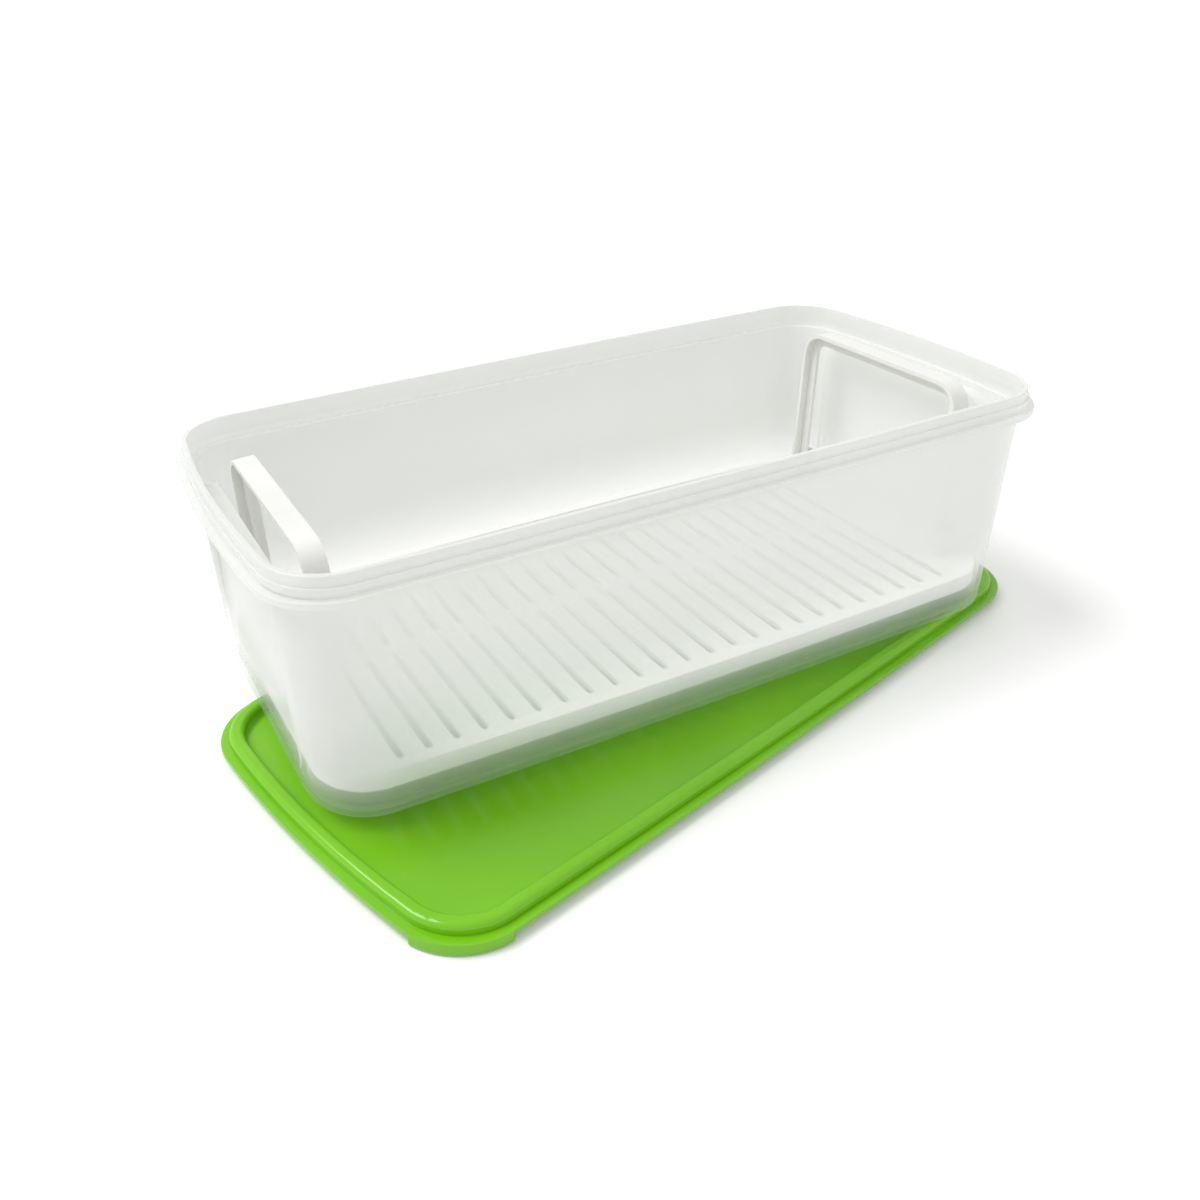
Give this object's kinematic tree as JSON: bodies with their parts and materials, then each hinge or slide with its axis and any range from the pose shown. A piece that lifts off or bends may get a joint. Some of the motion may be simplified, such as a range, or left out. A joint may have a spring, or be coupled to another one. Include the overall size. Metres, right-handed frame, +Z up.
{
  "type": "food storage container",
  "caption": "Long frosted vegetable keeper with a lift-out slotted tray on folding handles and a green snap lid lying under it.",
  "frame": {"origin": "middle of the lid at the level of the surface that it lies on", "axes": "+X along the container's long side, +Y across it, +Z up"},
  "size_m": [0.357, 0.2274, 0.1102],
  "materials": {
    "container": "frosted moulded polypropylene, translucent",
    "lift_tray": "opaque white moulded plastic",
    "handle_near": "opaque white moulded plastic",
    "handle_far": "opaque white moulded plastic",
    "lid": "semi-gloss lime green moulded polyethylene"
  },
  "bodies": {
    "lid": {"lid": "lid"},
    "container": {"container": "container"},
    "tray": {"lift_tray": "lift_tray"},
    "handle_near": {"handle_near": "handle_near"},
    "handle_far": {"handle_far": "handle_far"}
  },
  "joints": [
    {"name": "container_lift", "type": "slide", "parent": "lid", "child": "container", "axis": [0, 0, 1], "range_m": [0, 0.15]},
    {"name": "tray_lift", "type": "slide", "parent": "container", "child": "tray", "axis": [0, 0, 1], "range_m": [0, 0.12]},
    {"name": "handle_near_fold", "type": "hinge", "parent": "tray", "child": "handle_near", "pos_m": [-0.1431, 0.0201, 0.0334], "axis": [0, 1, 0], "range_deg": [0, 92]},
    {"name": "handle_far_fold", "type": "hinge", "parent": "tray", "child": "handle_far", "pos_m": [0.1389, 0.0201, 0.0334], "axis": [0, -1, 0], "range_deg": [0, 92]}
  ]
}
